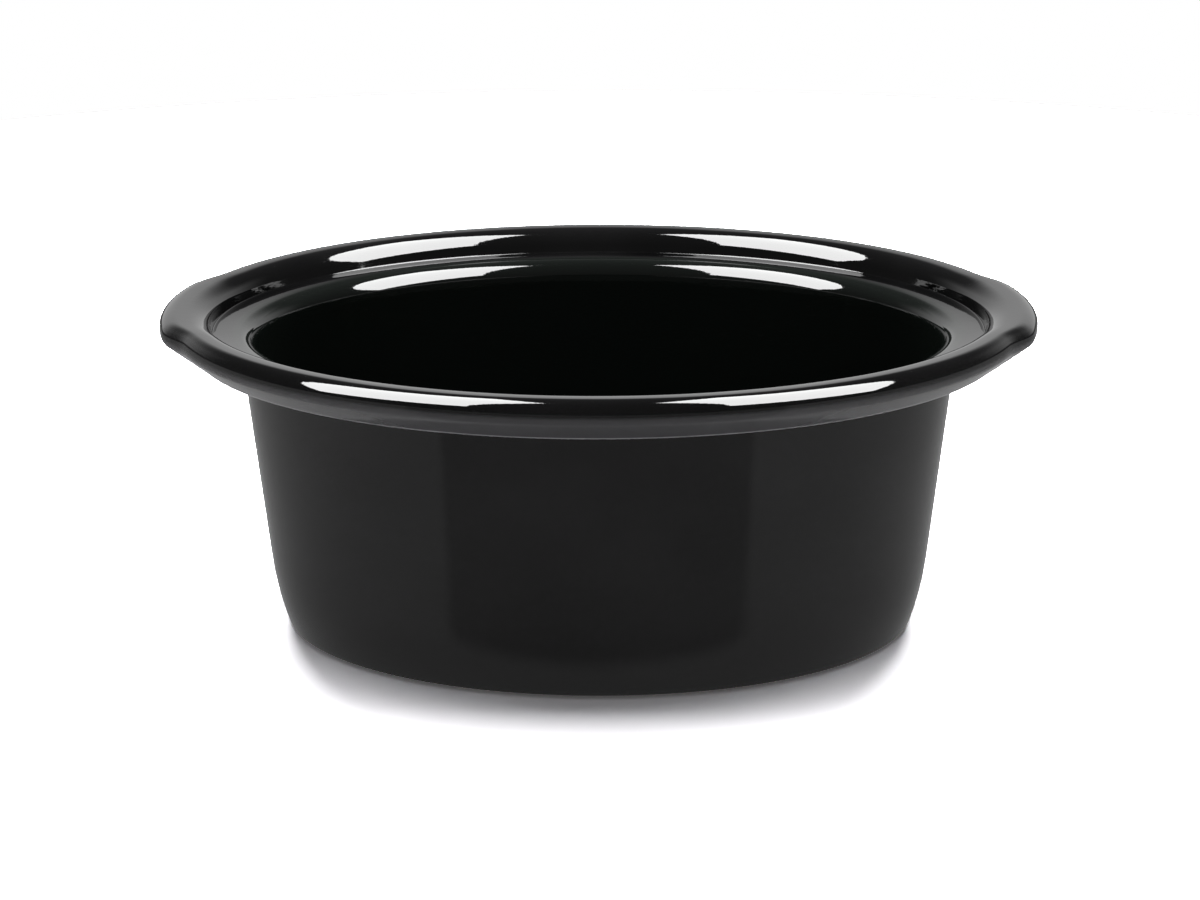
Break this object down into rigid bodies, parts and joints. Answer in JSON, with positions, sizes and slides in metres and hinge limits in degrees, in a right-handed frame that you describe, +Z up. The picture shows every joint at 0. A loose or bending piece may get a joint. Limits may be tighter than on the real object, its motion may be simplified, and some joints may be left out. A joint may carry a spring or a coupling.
{
  "type": "slow cooker crock",
  "caption": "Oval stoneware crock of a slow cooker, glazed black, with a rolled rim, a lid ledge and a lug handle at each end.",
  "frame": {"origin": "centre of the foot's plane, under the middle of the oval", "axes": "+X along the line of the two handles, +Z up out of the mouth, +Y across the oval"},
  "size_m": [0.3268, 0.239, 0.1259],
  "materials": {
    "stoneware": "matte",
    "outside_glaze": "gloss",
    "inside_glaze": "gloss"
  },
  "bodies": {
    "root": {"stoneware_body": "stoneware", "inner_glaze": "inside_glaze", "outer_glaze": "outside_glaze", "base_glaze": "outside_glaze"}
  },
  "joints": []
}
